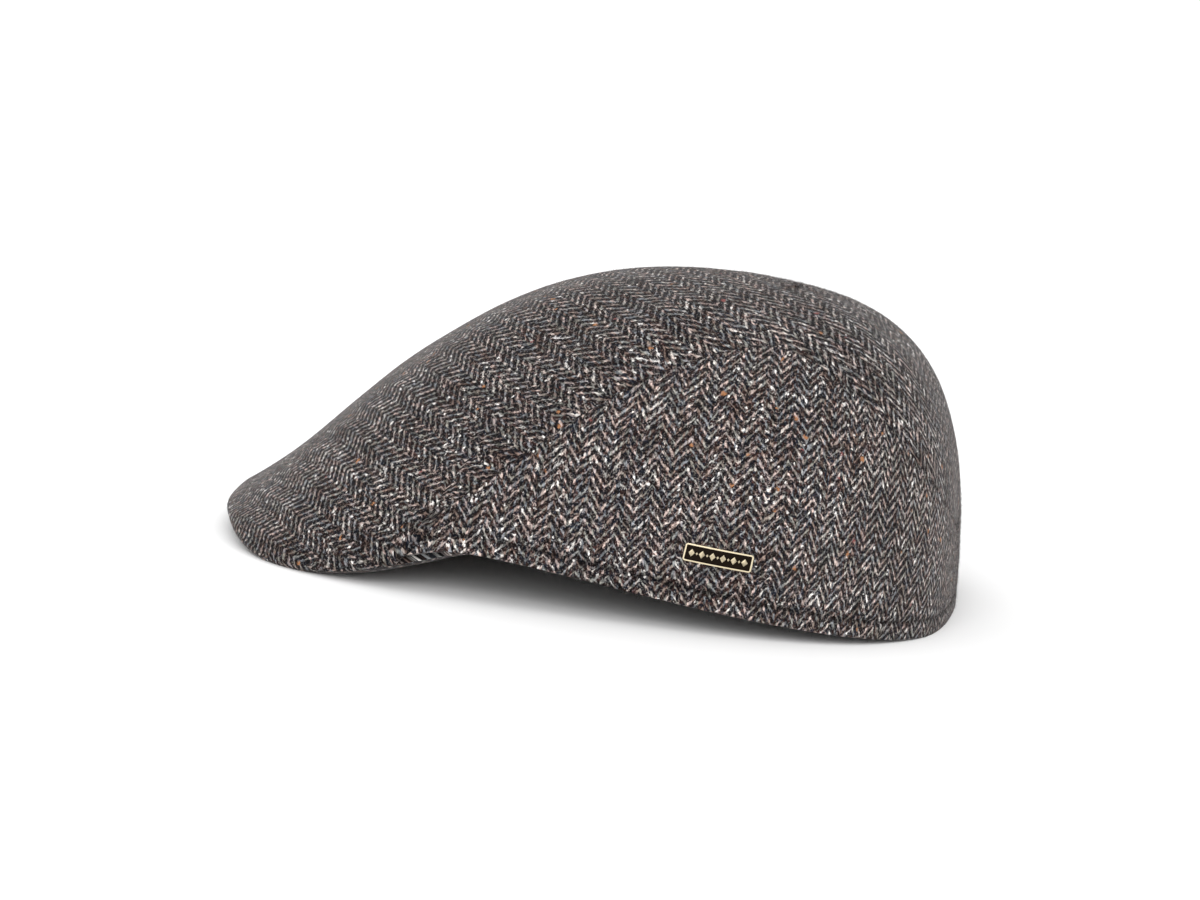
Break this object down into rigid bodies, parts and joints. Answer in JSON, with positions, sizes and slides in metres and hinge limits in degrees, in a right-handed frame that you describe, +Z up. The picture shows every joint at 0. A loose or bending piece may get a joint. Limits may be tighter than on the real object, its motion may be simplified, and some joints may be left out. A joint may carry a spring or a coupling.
{
  "type": "flat cap",
  "caption": "Rounded herringbone tweed flat cap with a stiff front peak, shaped side panels, an open head hollow and a small metal badge on one side.",
  "frame": {"origin": "centre of the bounding box's bottom, on the surface the cap rests on", "axes": "+Z up, -Y the way the peak points, +X the wearer's left, where the badge is"},
  "size_m": [0.1778, 0.2572, 0.107],
  "materials": {
    "tweed_top": "wool herringbone tweed, charcoal, grey and brown, cut on the bias",
    "tweed_side": "wool herringbone tweed, charcoal, grey and brown, columns square to the rim",
    "tweed_peak": "wool tweed over a stiff board",
    "antique_brass": "antique brass, dark in its recess and bright on its raised border"
  },
  "bodies": {
    "root": {"top_panel": "tweed_top", "side_panel_left": "tweed_side", "side_panel_right": "tweed_side", "peak": "tweed_peak", "badge": "antique_brass"}
  },
  "joints": []
}
